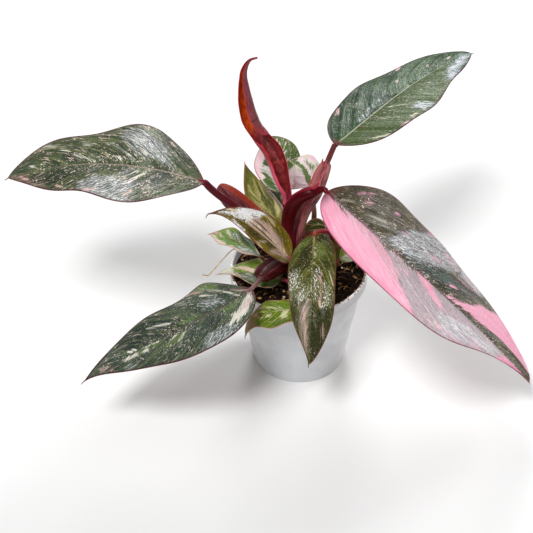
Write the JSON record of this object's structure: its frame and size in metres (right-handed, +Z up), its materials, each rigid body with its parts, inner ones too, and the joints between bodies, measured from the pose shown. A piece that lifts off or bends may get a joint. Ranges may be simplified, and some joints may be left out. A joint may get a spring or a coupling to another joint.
{
  "type": "pink princess philodendron in a nursery pot",
  "caption": "Young variegated philodendron with long pointed leaves, grooved stalks and a rolled red new leaf, standing in soil in a small round tapered plastic pot.",
  "frame": {"origin": "middle of the underside of the pot's foot", "axes": "+Z up, out of the pot; -Y is the side that the plant shows to the picture's camera, so +X is to its right"},
  "size_m": [0.2635, 0.1658, 0.1834],
  "materials": {
    "pot": "pale grey moulded plastic, satin",
    "soil": "dark potting mix with bark and fibre",
    "stem": "smooth dark maroon stalk",
    "stem_green": "smooth brown to green stalk",
    "leaf_green": "waxy dark green leaf flecked with pale pink",
    "leaf_olive": "glossy young olive green leaf",
    "leaf_cream": "glossy green leaf marbled with cream and pink",
    "leaf_pink": "waxy leaf in sectors of pink and dark green",
    "new_leaf": "glossy red rolled new leaf"
  },
  "bodies": {
    "root": {"pot": "pot", "soil": "soil", "stems_main": "stem", "stems_back": "stem", "stems_front": "stem", "stems_right": "stem_green", "leaf_left_upper": "leaf_green", "leaf_right_upper": "leaf_green", "leaf_right_pink": "leaf_pink", "leaf_left_lower": "leaf_green", "leaf_front": "leaf_olive", "leaf_front_left": "leaf_olive", "leaf_small_left": "leaf_cream", "leaf_small_low_left": "leaf_cream", "leaf_small_upright": "leaf_olive", "leaf_small_folded": "leaf_green", "leaf_small_right": "leaf_cream", "leaf_small_front": "leaf_cream", "leaf_back_round": "leaf_cream", "leaf_back_pale": "leaf_pink", "leaf_back_dark": "leaf_green", "new_leaf": "new_leaf", "sheath_left": "new_leaf"}
  },
  "joints": []
}
